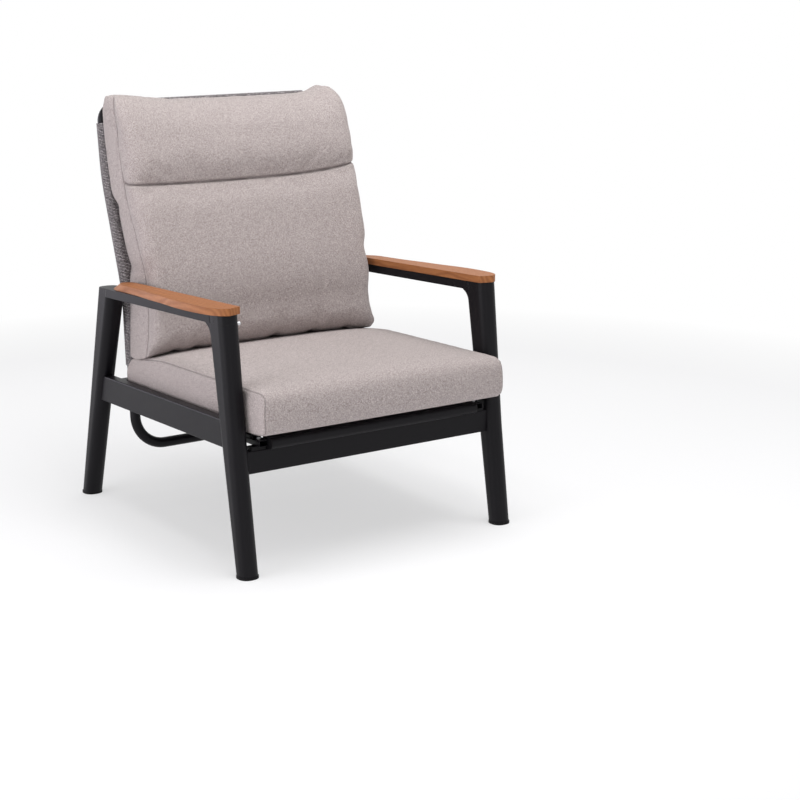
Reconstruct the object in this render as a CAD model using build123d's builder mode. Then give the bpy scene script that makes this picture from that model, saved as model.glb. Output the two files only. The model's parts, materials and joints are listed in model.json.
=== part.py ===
from build123d import *
from math import atan, cos, degrees, radians, sin, sqrt, tan
import os

# Reclining garden armchair. Millimetres, +Z up, the sitter faces -Y.
# Left and right are those of someone who stands in front of the chair: left is -X.

# Side frames: tapered legs, flat arm tube and side rail, all about one upright plane
side_x = 345.0
front_foot_y = -379.0
rear_foot_y = 400.0
front_top_y = -295.5
rear_top_y = 243.5
arm_front_z = 572.0
arm_rear_z = 546.5
leg_foot_size = 45.4
leg_knee_z = 240.0
leg_knee_width = 45.0
leg_knee_depth = 54.5
front_knee_shift = 2.8
rear_knee_shift = 0.5
leg_top_width = 47.0
leg_top_depth = 74.5
leg_corner_radius = 20.0
tube_wall = 2.0
arm_tube_height = 20.0
arm_corner_radius = 26.0
arm_corner_inset = 0.3
arm_corner_angles = (0, 16, 32, 48, 62, 72)
cut_overrun = 30.0

# Foot caps pushed into the open leg ends
foot_cap_height = 5.0
foot_cap_rim = 1.2
foot_plug_height = 16.0

# Side rails, front apron and rear crossbar
rail_front_z = 310.0
rail_rear_z = 291.0
rail_thickness = 25.0
rail_height = 63.0
rail_corner = 3.0
apron_thickness = 20.0
apron_height = 52.0
apron_top_z = 274.0
crossbar_thickness = 25.0
crossbar_height = 48.0
crossbar_z = 275.0

# Teak armrest boards, measured from the inner edge (across) and the front tip (along)
board_thickness = 16.0
board_length = 571.0
board_width = 65.0
board_inner_overhang = 2.0
board_front_overhang = 42.5
# across as shares of the width, along as shares of the length
board_facet_shares = ((0.0, 0.021), (0.47, 0.0))
board_outer_shares = (
    (0.69, 0.019),
    (0.88, 0.070),
    (0.965, 0.137),
    (1.0, 0.215),
    (0.946, 0.377),
    (0.855, 0.482),
    (0.815, 0.576),
    (0.731, 0.681),
    (0.668, 0.832),
    (0.655, 0.902),
)
board_tail_shares = ((0.56, 0.962), (0.36, 1.0), (0.12, 0.985), (0.0, 0.935))
board_tail_rake_share = 0.067
board_screw_radius = 2.5
board_screw_bite = 11.0
board_screw_head_radius = 4.5
board_screw_head_height = 2.6
board_screw_clearance = 0.4

# Seat tray: bars and slats in a plane parallel to the side rails
deck_drop = 4.8
tray_bar_width = 25.0
tray_bar_height = 15.0
tray_bar_wall = 1.5
tray_start = 14.0
tray_end = 575.0
tray_inset = 67.5
front_bar_depth = 40.0
front_bar_height = 26.5
front_bar_drop = 3.5
front_bar_nose_radius = 11.0
front_bar_back_radius = 3.0
front_cap_thickness = 2.5
mid_bar_place = 250.0
cross_bar_width = 30.0
slat_count = 6
slat_width = 60.0
slat_thickness = 8.0
slat_start = 50.0
slat_edge_radius = 3.0
mount_block_width = 36.0
mount_block_gap = 0.5
bracket_thickness = 4.0
bracket_length = 40.0
bracket_place = 498.0
bracket_rise = 24.0
tray_bolt_radius = 3.0
tray_bolt_clearance = 0.3
tray_bolt_head_radius = 6.0
tray_bolt_head_height = 3.2
tray_bolt_tail = 8.0

# Back frame: one closed loop of round tube, bent twice in side view
back_inset = 47.0
back_tube_radius = 12.5
pivot_y = 241.5
back_bottom_z = 148.0
back_waist_z = 528.0
back_top_z = 960.0
back_shoulder_drop = 165.0
back_lower_lean = 2.6
back_middle_lean = 18.6
back_upper_lean = 6.2
waist_radius = 350.0
shoulder_radius = 400.0
top_corner_radius = 36.0
lower_corner_radius = 76.0
bow_straight_end = 0.5
weave_bar_z = 338.0

# Woven cover: wraps round the tubes and one interlaced panel across the front
wrap_thickness = 3.0
panel_thickness = 4.0
panel_edge_gap = 4.0
wrap_start_z = 352.0
wrap_corner_gap = 1.0

# Pivots of the back, inside the side rails
pivot_bolt_radius = 5.0
pivot_running_clearance = 0.05
pivot_side_clearance = 0.3
pivot_sleeve_radius = 8.0
pivot_spacer_radius = 11.0
pivot_head_radius = 8.5
pivot_head_height = 5.0
pivot_insert_radius = 7.0
pivot_insert_flange_radius = 10.0
pivot_insert_flange = 1.5
pivot_insert_length = 15.0

# Lockable gas spring under the seat
spring_front_drop = 47.0
spring_rear_forward = 22.0
spring_rear_up = 28.0
spring_pin_radius = 4.0
spring_pin_clearance = 0.05
spring_ear_thickness = 4.0
spring_side_clearance = 0.3
spring_ear_radius = 11.0
spring_head_half_width = 10.0
spring_head_size = 24.0
spring_head_length = 34.0
spring_rod_radius = 5.0
spring_rod_clearance = 0.05
spring_rod_reach = 144.0
spring_piston_length = 12.0
spring_piston_clearance = 0.1
spring_cylinder_radius = 14.0
spring_cylinder_wall = 2.0
spring_cylinder_start = 118.0
spring_cap_length = 8.0
spring_neck_radius = 7.0
spring_neck_length = 5.0
spring_eye_radius = 12.5
spring_eye_bore = 9.0
release_lever_thickness = 3.0
release_lever_width = 14.0
release_lever_gap = 0.5
lever_length_share = 0.9

# Release button in the inner face of the left front leg
button_z = 548.0
button_forward = 6.0
button_radius = 5.0
button_clearance = 0.05
button_reach = 13.0
button_stem = 9.0
button_dome = 2.0
housing_flange_radius = 7.2
housing_flange = 3.0
housing_sleeve_radius = 6.2
housing_sleeve = 5.0

# Cushions
soft_gap = 0.3
seat_side_gap = 3.5
seat_front_overhang = 45.9
seat_rear_place = 600.0
seat_thickness = 105.0
seat_crown = 13.0
seat_bulge = 2.0
seat_bottom_radius = 30.0
seat_bottom_rise = 7.0
seat_top_radius = 18.0
seat_end_radius = 24.0
seat_end_shares = (1.0, 0.62, 0.3, 0.08, 0.0)
seat_end_crown_share = 0.25
seat_end_belly_share = 0.15
seat_belly_run = 100.0
back_cushion_overhang = 10.0
back_cushion_rise = 28.0
back_cushion_depth = 150.0
back_cushion_edge = 24.0
shoulder_share = 0.80
shoulder_drop_share = 0.06
bend_share = 0.955
bend_drop_share = 0.27
# height along the cushion, inset of its sides, depth of its front and of its side seam
back_cushion_shares = (
    (0.000, 0.35, 0.66, 0.50),
    (0.030, 0.08, 0.80, 0.60),
    (0.090, 0.00, 0.80, 0.62),
    (0.160, 0.10, 0.78, 0.61),
    (0.300, 0.25, 0.87, 0.60),
    (0.430, 0.35, 0.96, 0.57),
    (0.560, 0.35, 0.98, 0.50),
    (0.625, 0.42, 0.91, 0.48),
    (0.652, 0.52, 0.81, 0.46),
    (0.680, 0.42, 0.92, 0.47),
    (0.760, 0.20, 1.02, 0.46),
    (0.860, 0.15, 0.97, 0.44),
    (0.930, 0.20, 0.83, 0.42),
    (0.970, 0.35, 0.65, 0.36),
    (1.000, 0.80, 0.39, 0.24),
)

sides = ((-1, "left"), (1, "right"))
pieces = {}
leg_end_z = arm_front_z + cut_overrun

# Widths that follow the side frames
leg_inner_x = side_x - leg_top_width / 2
rail_inner_x = side_x - rail_thickness / 2
tray_inner_x = side_x - tray_inset
back_half_width = side_x - back_inset
back_shoulder_z = back_top_z - back_shoulder_drop
seat_half_width = leg_inner_x - seat_side_gap
back_cushion_half_width = back_half_width + back_cushion_overhang


# Reference planes and lines that several pieces share

arm_slope = (arm_front_z - arm_rear_z) / (rear_top_y - front_top_y)
arm_plane = Plane(origin=(0, front_top_y, arm_front_z), x_dir=(1, 0, 0), z_dir=(0, arm_slope, 1))
arm_underside = arm_plane.offset(-arm_tube_height)
arm_corner_z = arm_front_z - arm_tube_height - arm_slope * (leg_top_depth / 2 + arm_corner_radius)


def leg_y(front, z):
    # centre line of a leg at height z
    if front:
        return front_foot_y + (front_top_y - front_foot_y) * z / arm_front_z
    return rear_foot_y + (rear_top_y - rear_foot_y) * z / arm_rear_z


rail_front_y = leg_y(True, rail_front_z)
rail_rear_y = leg_y(False, rail_rear_z)
rail_slope = (rail_front_z - rail_rear_z) / (rail_rear_y - rail_front_y)


def rail_z(y):
    # mid-height of the side rails at y
    return rail_front_z - rail_slope * (y - rail_front_y)


seat_plane = Plane(
    origin=(0, front_foot_y, rail_z(front_foot_y) - deck_drop),
    x_dir=(1, 0, 0),
    z_dir=(0, rail_slope, 1),
)
seat_along = seat_plane.y_dir
pivot_z = rail_z(pivot_y)


def back_point(z):
    # corner points of the back's centre line lie on three straight stretches
    lower = tan(radians(back_lower_lean))
    middle = tan(radians(back_middle_lean))
    upper = tan(radians(back_upper_lean))
    waist_y = pivot_y + lower * (back_waist_z - pivot_z)
    shoulder_y = waist_y + middle * (back_shoulder_z - back_waist_z)
    if z <= back_waist_z:
        return (pivot_y + lower * (z - pivot_z), z)
    if z <= back_shoulder_z:
        return (waist_y + middle * (z - back_waist_z), z)
    return (shoulder_y + upper * (z - back_shoulder_z), z)


def back_path(x, start_z, end_z):
    # the bent centre line from start_z, under the waist, to end_z, over the shoulder
    with BuildLine(Plane.YZ.offset(x)) as line:
        FilletPolyline(
            back_point(start_z),
            back_point(back_waist_z),
            back_point(back_shoulder_z),
            back_point(end_z),
            radius=[waist_radius, shoulder_radius],
        )
    return line.wires()[0]


def back_line_y(z):
    # y of the bent centre line at height z, found by halving the interval
    path = back_path(0, back_bottom_z, back_top_z + cut_overrun)
    low, high = 0.0, 1.0
    for _ in range(24):
        middle = (low + high) / 2
        if path.position_at(middle).Z < z:
            low = middle
        else:
            high = middle
    return path.position_at(low).Y


# Legs, feet, arm tubes and armrests


def leg_blank(side, front, inset):
    # full outer form of a leg, or its bore when inset by the wall
    knee_shift = front_knee_shift if front else rear_knee_shift
    sections = (
        (foot_cap_height, leg_foot_size, leg_foot_size, 0),
        (leg_knee_z, leg_knee_width, leg_knee_depth, knee_shift),
        (leg_end_z, leg_top_width, leg_top_depth, 0),
    )
    with BuildPart() as blank:
        for z, width, depth, shift in sections:
            with BuildSketch(Plane((side * side_x, leg_y(front, z) + shift, z))):
                RectangleRounded(width - 2 * inset, depth - 2 * inset, leg_corner_radius - inset)
        loft(ruled=True)
    return blank


def leg_depth(z):
    # depth of a leg between its knee and its end
    share = (z - leg_knee_z) / (leg_end_z - leg_knee_z)
    return leg_knee_depth + (leg_top_depth - leg_knee_depth) * share


def leg_centre_y(z):
    # middle of the front leg's depth between its knee and its end
    share = (leg_end_z - z) / (leg_end_z - leg_knee_z)
    return leg_y(True, z) + front_knee_shift * share


def flare_section(side, drop, flare):
    # level section of the front leg, drop below the arm tube's corner, grown to the rear by flare
    z = arm_corner_z - drop
    depth = leg_depth(z) - 2 * arm_corner_inset + flare
    width = leg_top_width - 2 * arm_corner_inset
    with BuildSketch(Plane((side * side_x, leg_centre_y(z) + flare / 2, z))) as section:
        RectangleRounded(width, depth, leg_corner_radius - arm_corner_inset)
    return section.sketch


def arm_corner(side):
    # the front leg flares into the arm tube in a concave round, with a blunt lip at its end
    turns = [radians(angle) for angle in arm_corner_angles]
    places = [(arm_corner_radius * (1 - sin(turn)), arm_corner_radius * (1 - cos(turn))) for turn in turns]
    with BuildPart() as flare:
        for drop, growth in places:
            add(flare_section(side, drop, growth))
        loft(ruled=True)
        add(flare_section(side, *places[-1]))
        extrude(amount=arm_tube_height)
        split(bisect_by=arm_underside, keep=Keep.BOTTOM)
    return flare


def button_y():
    return leg_y(True, button_z) - button_forward


def leg_bore(side, front):
    # hollow of a leg, closed by a lid under the armrest
    with BuildPart() as bore:
        add(leg_blank(side, front, tube_wall))
        split(bisect_by=arm_plane.offset(-tube_wall), keep=Keep.BOTTOM)
    return bore


def make_leg(side, front):
    with BuildPart() as leg:
        add(leg_blank(side, front, 0))
        if front:
            add(arm_corner(side))
        add(leg_bore(side, front), mode=Mode.SUBTRACT)
        split(bisect_by=arm_plane, keep=Keep.BOTTOM)
        if front and side < 0:
            # seat of the release button's housing
            with BuildSketch(Plane.YZ.offset(-side_x)):
                with Locations((button_y(), button_z)):
                    Circle(housing_sleeve_radius)
            extrude(amount=leg_top_width, mode=Mode.SUBTRACT)
    return leg


def make_foot(side, front):
    # flange under the tube end and a plug inside it
    centre_y = leg_y(front, 0)
    cap_size = leg_foot_size + 2 * foot_cap_rim
    with BuildPart() as foot:
        with BuildSketch(Plane((side * side_x, centre_y, 0))):
            RectangleRounded(cap_size, cap_size, leg_corner_radius + foot_cap_rim)
        extrude(amount=foot_cap_height)
        add(leg_blank(side, front, tube_wall))
        split(bisect_by=Plane.XY.offset(foot_cap_height + foot_plug_height), keep=Keep.BOTTOM)
    return foot


arm_length = (rear_top_y - front_top_y) * sqrt(1 + arm_slope**2)
screw_place_shares = (0.18, 0.5, 0.82)


def screw_places():
    return [arm_length * share for share in screw_place_shares]


def make_arm_tube(side):
    # flat tube from leg to leg, cut to their round outlines
    centre = (side * side_x, arm_length / 2)
    with BuildPart() as tube:
        with BuildSketch(arm_plane):
            with Locations(centre):
                Rectangle(leg_top_width, arm_length)
        extrude(amount=-arm_tube_height)
        with BuildSketch(arm_plane.offset(-tube_wall)):
            with Locations(centre):
                Rectangle(leg_top_width - 2 * tube_wall, arm_length)
        extrude(amount=2 * tube_wall - arm_tube_height, mode=Mode.SUBTRACT)
        with BuildSketch(arm_plane):
            with Locations([(side * side_x, place) for place in screw_places()]):
                Circle(board_screw_radius + board_screw_clearance)
        extrude(amount=-arm_tube_height, mode=Mode.SUBTRACT)
        add(leg_blank(side, True, 0), mode=Mode.SUBTRACT)
        add(leg_blank(side, False, 0), mode=Mode.SUBTRACT)
    return tube


def board_outline(side, rake_share):
    # plan of an armrest board: front facet, bulged outer edge, round tail; raked at the tail
    inner = side * (leg_inner_x - board_inner_overhang)

    def at(place):
        across, along = place
        length = board_length * (1 - rake_share)
        return (inner + side * board_width * across, length * along - board_front_overhang)

    tip = at(board_facet_shares[1])
    front_inner = at(board_facet_shares[0])
    outer = [at(place) for place in board_outer_shares]
    tail = [at(place) for place in board_tail_shares]
    with BuildSketch(Plane.XY) as outline:
        with BuildLine():
            Line(front_inner, tip)
            Spline(tip, *outer)
            ThreePointArc(outer[-1], tail[0], tail[1])
            ThreePointArc(tail[1], tail[2], tail[3])
            Line(tail[3], front_inner)
        make_face()
    return outline.sketch


def make_armrest(side):
    with BuildPart() as board:
        with BuildSketch(arm_plane):
            add(board_outline(side, 0))
        with BuildSketch(arm_plane.offset(board_thickness)):
            add(board_outline(side, board_tail_rake_share))
        loft(ruled=True)
        with BuildSketch(arm_plane):
            with Locations([(side * side_x, place) for place in screw_places()]):
                Circle(board_screw_radius)
        extrude(amount=board_screw_bite, mode=Mode.SUBTRACT)
    return board


def make_armrest_screws():
    # pan head screws, driven up through the arm tubes
    places = [(side * side_x, place) for side, _ in sides for place in screw_places()]
    with BuildPart() as screws:
        with BuildSketch(arm_underside):
            with Locations(places):
                Circle(board_screw_head_radius)
        extrude(amount=-board_screw_head_height)
        with BuildSketch(arm_underside):
            with Locations(places):
                Circle(board_screw_radius)
        extrude(amount=arm_tube_height + board_screw_bite)
    return screws


# Rails and crossbars between the legs


def tube_between(plane, width, height, length, corner, wall):
    # hollow rectangular tube along the plane's normal
    with BuildPart() as tube:
        with BuildSketch(plane):
            RectangleRounded(width, height, corner)
            RectangleRounded(width - 2 * wall, height - 2 * wall, corner / 2, mode=Mode.SUBTRACT)
        extrude(amount=length)
    return tube


def make_side_rail(side):
    start = Vector(side * side_x, rail_front_y, rail_front_z)
    end = Vector(side * side_x, rail_rear_y, rail_rear_z)
    plane = Plane(origin=start, x_dir=(1, 0, 0), z_dir=end - start)
    inner_face = side * (side_x - rail_thickness / 2)
    with BuildPart() as rail:
        add(tube_between(plane, rail_thickness, rail_height, (end - start).length, rail_corner, tube_wall))
        add(leg_blank(side, True, 0), mode=Mode.SUBTRACT)
        add(leg_blank(side, False, 0), mode=Mode.SUBTRACT)
        # hole for the pivot's threaded insert, through the inner wall only
        with BuildSketch(Plane.YZ.offset(inner_face)):
            with Locations((pivot_y, pivot_z)):
                Circle(pivot_insert_radius)
        extrude(amount=tube_wall, both=True, mode=Mode.SUBTRACT)
    return rail


def make_front_apron():
    mid_z = apron_top_z - apron_height / 2
    plane = Plane(origin=(-side_x, leg_y(True, mid_z), mid_z), x_dir=(0, 1, 0), z_dir=(1, 0, 0))
    with BuildPart() as apron:
        add(tube_between(plane, apron_thickness, apron_height, 2 * side_x, rail_corner, tube_wall))
        for side, _ in sides:
            add(leg_blank(side, True, 0), mode=Mode.SUBTRACT)
        with BuildSketch(Plane.XY.offset(apron_top_z)):
            with Locations([(side * tray_bolt_x(), front_bolt_y()) for side, _ in sides]):
                Circle(tray_bolt_radius)
        extrude(amount=-2 * tube_wall, mode=Mode.SUBTRACT)
    return apron


def make_rear_crossbar():
    plane = Plane(
        origin=(-side_x, leg_y(False, crossbar_z), crossbar_z), x_dir=(0, 1, 0), z_dir=(1, 0, 0)
    )
    with BuildPart() as bar:
        add(tube_between(plane, crossbar_thickness, crossbar_height, 2 * side_x, rail_corner, tube_wall))
        for side, _ in sides:
            add(leg_blank(side, False, 0), mode=Mode.SUBTRACT)
    return bar


# Seat tray


def tray_bolt_x():
    return tray_inner_x + tray_bar_width / 2


def front_bolt_y():
    return leg_y(True, apron_top_z - apron_height / 2)


def front_bolt_place():
    # the front bolts' place along the tray
    return (front_bolt_y() - front_foot_y) * sqrt(1 + rail_slope**2)


tray_bar_top = -slat_thickness
tray_bar_bottom = tray_bar_top - tray_bar_height


def bolt_holes(radius, top, bottom):
    # four upright-to-the-tray bores, front pair over the apron and rear pair over the brackets
    places = [
        (side * tray_bolt_x(), place)
        for side, _ in sides
        for place in (front_bolt_place(), bracket_place)
    ]
    with BuildPart() as bores:
        with BuildSketch(seat_plane.offset(top)):
            with Locations(places):
                Circle(radius)
        extrude(amount=bottom - top)
    return bores


def make_tray_side_bar(side):
    plane = Plane(
        origin=seat_plane.from_local_coords(
            Vector(side * tray_bolt_x(), tray_start, tray_bar_top - tray_bar_height / 2)
        ),
        x_dir=(1, 0, 0),
        z_dir=seat_along,
    )
    with BuildPart() as bar:
        length = tray_end - tray_start
        add(tube_between(plane, tray_bar_width, tray_bar_height, length, rail_corner, tray_bar_wall))
        radius = tray_bolt_radius + tray_bolt_clearance
        add(bolt_holes(radius, tray_bar_top, tray_bar_bottom), mode=Mode.SUBTRACT)
    return bar


def front_bar_profile(inset):
    # rounded nose towards the front, near-square back
    with BuildSketch(Plane.XY) as profile:
        Rectangle(front_bar_depth - 2 * inset, front_bar_height - 2 * inset)
        front_corners = profile.vertices().group_by(Axis.X)[0]
        fillet(front_corners, front_bar_nose_radius - inset)
        back_corners = profile.vertices().group_by(Axis.X)[-1]
        fillet(back_corners, front_bar_back_radius - inset)
    return profile.sketch


def front_bar_plane(x):
    centre = Vector(x, front_bar_depth / 2, -front_bar_drop - front_bar_height / 2)
    return Plane(
        origin=seat_plane.from_local_coords(centre), x_dir=seat_along, z_dir=(1, 0, 0)
    )


def make_seat_front_bar():
    half = tray_inner_x - front_cap_thickness
    with BuildPart() as bar:
        with BuildSketch(front_bar_plane(-half)):
            add(front_bar_profile(0))
            add(front_bar_profile(tray_bar_wall), mode=Mode.SUBTRACT)
        extrude(amount=2 * half)
    return bar


def make_front_bar_caps():
    with BuildPart() as caps:
        for x in (-tray_inner_x, tray_inner_x - front_cap_thickness):
            with BuildSketch(front_bar_plane(x)):
                add(front_bar_profile(0))
            extrude(amount=front_cap_thickness)
    return caps


def make_tray_cross_bar(place):
    # place is the bar's mid-line along the tray
    centre = Vector(-tray_inner_x, place, tray_bar_top - tray_bar_height / 2)
    plane = Plane(
        origin=seat_plane.from_local_coords(centre), x_dir=seat_along, z_dir=(1, 0, 0)
    )
    with BuildPart() as bar:
        length = 2 * tray_inner_x
        add(tube_between(plane, cross_bar_width, tray_bar_height, length, rail_corner, tray_bar_wall))
    return bar


def make_seat_slats():
    pitch = (tray_end - slat_start - slat_width) / (slat_count - 1)
    places = [(0, slat_start + slat_width / 2 + pitch * i) for i in range(slat_count)]
    with BuildPart() as slats:
        with BuildSketch(seat_plane.offset(tray_bar_top)):
            with Locations(places):
                RectangleRounded(2 * (tray_inner_x + tray_bar_width), slat_width, slat_edge_radius)
        extrude(amount=slat_thickness)
        upwards = Axis(seat_plane.origin, seat_plane.z_dir)
        top_faces = slats.faces().filter_by(seat_plane).group_by(upwards)[-1]
        chamfer(top_faces.edges(), slat_edge_radius / 2)
    return slats


def make_mount_blocks():
    # plastic blocks between the apron and the tray's side bars
    with BuildPart() as blocks:
        block_x = tray_inner_x + mount_block_gap + mount_block_width / 2
        with BuildSketch(Plane.XY.offset(apron_top_z)):
            with Locations([(side * block_x, front_bolt_y()) for side, _ in sides]):
                Rectangle(mount_block_width, apron_thickness)
        extrude(amount=cut_overrun)
        split(bisect_by=seat_plane.offset(tray_bar_bottom), keep=Keep.BOTTOM)
        add(
            bolt_holes(tray_bolt_radius + tray_bolt_clearance, 0, -2 * cut_overrun),
            mode=Mode.SUBTRACT,
        )
    return blocks


def make_tray_bracket(side):
    # angle between the tray's side bar and the inner face of the rail
    rail_face = side_x - rail_thickness / 2
    width = rail_face - tray_inner_x
    with BuildPart() as bracket:
        with BuildSketch(seat_plane.offset(tray_bar_bottom)):
            with Locations((side * (tray_inner_x + width / 2), bracket_place)):
                Rectangle(width, bracket_length)
        extrude(amount=-bracket_thickness)
        with BuildSketch(seat_plane.offset(tray_bar_bottom)):
            with Locations((side * (rail_face - bracket_thickness / 2), bracket_place)):
                Rectangle(bracket_thickness, bracket_length)
        extrude(amount=bracket_rise)
        add(bolt_holes(tray_bolt_radius, 0, -2 * cut_overrun), mode=Mode.SUBTRACT)
    return bracket


def make_tray_bolts():
    with BuildPart() as bolts:
        add(bolt_holes(tray_bolt_radius, tray_bar_top, tray_bar_bottom - tray_bolt_tail))
        head = tray_bar_top + tray_bolt_head_height
        add(bolt_holes(tray_bolt_head_radius, head, tray_bar_top))
    return bolts


# Back frame and its woven cover


def ring_sweep(path, outer, inner):
    # pipe along a path
    start = Plane(origin=path.position_at(0), x_dir=(1, 0, 0), z_dir=path.tangent_at(0))
    with BuildPart() as pipe:
        with BuildSketch(start):
            Circle(outer)
            if inner > 0:
                Circle(inner, mode=Mode.SUBTRACT)
        sweep(path=path)
    return pipe


def back_tube_inner():
    return back_tube_radius - tube_wall


side_tube_start_z = back_bottom_z + lower_corner_radius * cos(radians(back_lower_lean))
side_tube_end_z = back_top_z - top_corner_radius * cos(radians(back_upper_lean))
wrap_end_z = side_tube_end_z - wrap_corner_gap


def make_back_side_tube(side):
    x = side * back_half_width
    with BuildPart() as tube:
        path = back_path(x, side_tube_start_z, side_tube_end_z)
        add(ring_sweep(path, back_tube_radius, back_tube_inner()))
        # cross hole for the pivot sleeve
        with BuildSketch(Plane.YZ.offset(x)):
            with Locations((pivot_y, pivot_z)):
                Circle(pivot_sleeve_radius)
        extrude(amount=2 * back_tube_radius, both=True, mode=Mode.SUBTRACT)
    return tube


def bow_path(plane, radius):
    # U in the plane: down one side, round two corners and along the bar at local y = 0;
    # its short straight ends meet the side tubes squarely
    half = back_half_width
    bend = radius - bow_straight_end
    with BuildLine(plane) as line:
        FilletPolyline((-half, radius), (-half, 0), (half, 0), (half, radius), radius=bend)
    return line.wires()[0]


def bow_plane(z, lean, downwards):
    y, height = back_point(z)
    tilt = radians(lean)
    up = Vector(0, sin(tilt), cos(tilt))
    if downwards:
        up = -up
    normal = Vector(1, 0, 0).cross(up)
    return Plane(origin=(0, y, height), x_dir=(1, 0, 0), z_dir=normal)


def make_back_lower_bow():
    path = bow_path(bow_plane(back_bottom_z, back_lower_lean, False), lower_corner_radius)
    return ring_sweep(path, back_tube_radius, back_tube_inner())


def make_back_top_bow():
    path = bow_path(bow_plane(back_top_z, back_upper_lean, True), top_corner_radius)
    return ring_sweep(path, back_tube_radius, back_tube_inner())


def weave_bar_radius():
    # the panel lies on this bar
    return back_tube_radius + wrap_thickness - panel_thickness


def make_weave_bar():
    y, z = back_point(weave_bar_z)
    with BuildPart() as bar:
        with BuildSketch(Plane(origin=(-back_half_width, y, z), x_dir=(0, 1, 0), z_dir=(1, 0, 0))):
            Circle(weave_bar_radius())
            Circle(weave_bar_radius() - tray_bar_wall, mode=Mode.SUBTRACT)
        extrude(amount=2 * back_half_width)
        for side, _ in sides:
            envelope = back_path(side * back_half_width, side_tube_start_z, side_tube_end_z)
            add(ring_sweep(envelope, back_tube_radius, 0), mode=Mode.SUBTRACT)
    return bar


def make_side_wrap(side):
    path = back_path(side * back_half_width, wrap_start_z, wrap_end_z)
    return ring_sweep(path, back_tube_radius + wrap_thickness, back_tube_radius)


def top_wrap_half():
    return back_half_width - top_corner_radius - wrap_corner_gap


def make_top_wrap():
    y, z = back_point(back_top_z)
    half = top_wrap_half()
    with BuildPart() as wrap:
        with BuildSketch(Plane(origin=(-half, y, z), x_dir=(0, 1, 0), z_dir=(1, 0, 0))):
            Circle(back_tube_radius + wrap_thickness)
            Circle(back_tube_radius, mode=Mode.SUBTRACT)
        extrude(amount=2 * half)
    return wrap


def make_woven_panel():
    # interlaced straps between the side tubes, level with the front of the wraps
    path = back_path(0, weave_bar_z, back_top_z)
    front = back_tube_radius + wrap_thickness
    width = 2 * (back_half_width - panel_edge_gap)
    start = Plane(origin=path.position_at(0), x_dir=(1, 0, 0), z_dir=path.tangent_at(0))
    forward = -1 if start.y_dir.Y > 0 else 1
    with BuildPart() as panel:
        with BuildSketch(start):
            with Locations((0, forward * (front - panel_thickness / 2))):
                Rectangle(width, panel_thickness)
        sweep(path=path)
        for side, _ in sides:
            envelope = back_path(side * back_half_width, side_tube_start_z, side_tube_end_z)
            add(ring_sweep(envelope, front, 0), mode=Mode.SUBTRACT)
        y, z = back_point(back_top_z)
        with BuildSketch(Plane(origin=(-back_half_width, y, z), x_dir=(0, 1, 0), z_dir=(1, 0, 0))):
            Circle(front)
        extrude(amount=2 * back_half_width, mode=Mode.SUBTRACT)
        bow = bow_path(bow_plane(back_top_z, back_upper_lean, True), top_corner_radius)
        add(ring_sweep(bow, front, 0), mode=Mode.SUBTRACT)
    return panel


# Pivot hardware: bolt from the inside, through the back tube, into an insert in the rail


def disc(x, y, z, towards, radius, length, bore=0.0):
    # round piece about an axis along X, from x in the direction towards (-1 or 1)
    with BuildPart() as piece:
        with BuildSketch(Plane(origin=(x, y, z), x_dir=(0, 1, 0), z_dir=(towards, 0, 0))):
            Circle(radius)
            if bore > 0:
                Circle(bore, mode=Mode.SUBTRACT)
        extrude(amount=length)
    return piece


def pivot_disc(side, x, radius, length, bore=0.0):
    return disc(side * x, pivot_y, pivot_z, side, radius, length, bore)


sleeve_start_x = back_half_width - back_tube_radius - pivot_side_clearance
sleeve_end_x = back_half_width + back_tube_radius + pivot_side_clearance


def make_pivot_sleeves():
    with BuildPart() as sleeves:
        bore = pivot_bolt_radius + pivot_running_clearance
        for side, _ in sides:
            length = sleeve_end_x - sleeve_start_x
            add(pivot_disc(side, sleeve_start_x, pivot_sleeve_radius, length, bore))
    return sleeves


def make_pivot_bolts():
    with BuildPart() as bolts:
        head_x = sleeve_start_x - pivot_side_clearance
        for side, _ in sides:
            add(pivot_disc(side, head_x - pivot_head_height, pivot_head_radius, pivot_head_height))
            length = rail_inner_x + pivot_insert_length / 2 - head_x
            add(pivot_disc(side, head_x, pivot_bolt_radius, length))
    return bolts


def make_pivot_spacers():
    start = sleeve_end_x + pivot_side_clearance
    end = rail_inner_x - pivot_insert_flange
    with BuildPart() as spacers:
        for side, _ in sides:
            add(pivot_disc(side, start, pivot_spacer_radius, end - start, pivot_bolt_radius))
    return spacers


def make_pivot_inserts():
    flange_x = rail_inner_x - pivot_insert_flange
    with BuildPart() as inserts:
        for side, _ in sides:
            bore = pivot_bolt_radius
            add(pivot_disc(side, flange_x, pivot_insert_flange_radius, pivot_insert_flange, bore))
            add(pivot_disc(side, rail_inner_x, pivot_insert_radius, pivot_insert_length, bore))
    return inserts


# Gas spring, its brackets and release head


spring_ear_gap = spring_head_half_width + spring_side_clearance


def front_pin_place():
    return seat_plane.from_local_coords(Vector(0, mid_bar_place, -spring_front_drop))


def rear_pin_place():
    y, z = back_point(back_bottom_z)
    return Vector(0, y - spring_rear_forward, z + spring_rear_up)


spring_length = (rear_pin_place() - front_pin_place()).length
spring_plane = Plane(
    origin=front_pin_place(), x_dir=(1, 0, 0), z_dir=rear_pin_place() - front_pin_place()
)


def spring_round(start, end, radius, bore=0.0):
    # round piece on the gas spring's axis
    with BuildPart() as piece:
        with BuildSketch(spring_plane.offset(start)):
            Circle(radius)
            if bore > 0:
                Circle(bore, mode=Mode.SUBTRACT)
        extrude(amount=end - start)
    return piece


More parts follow.
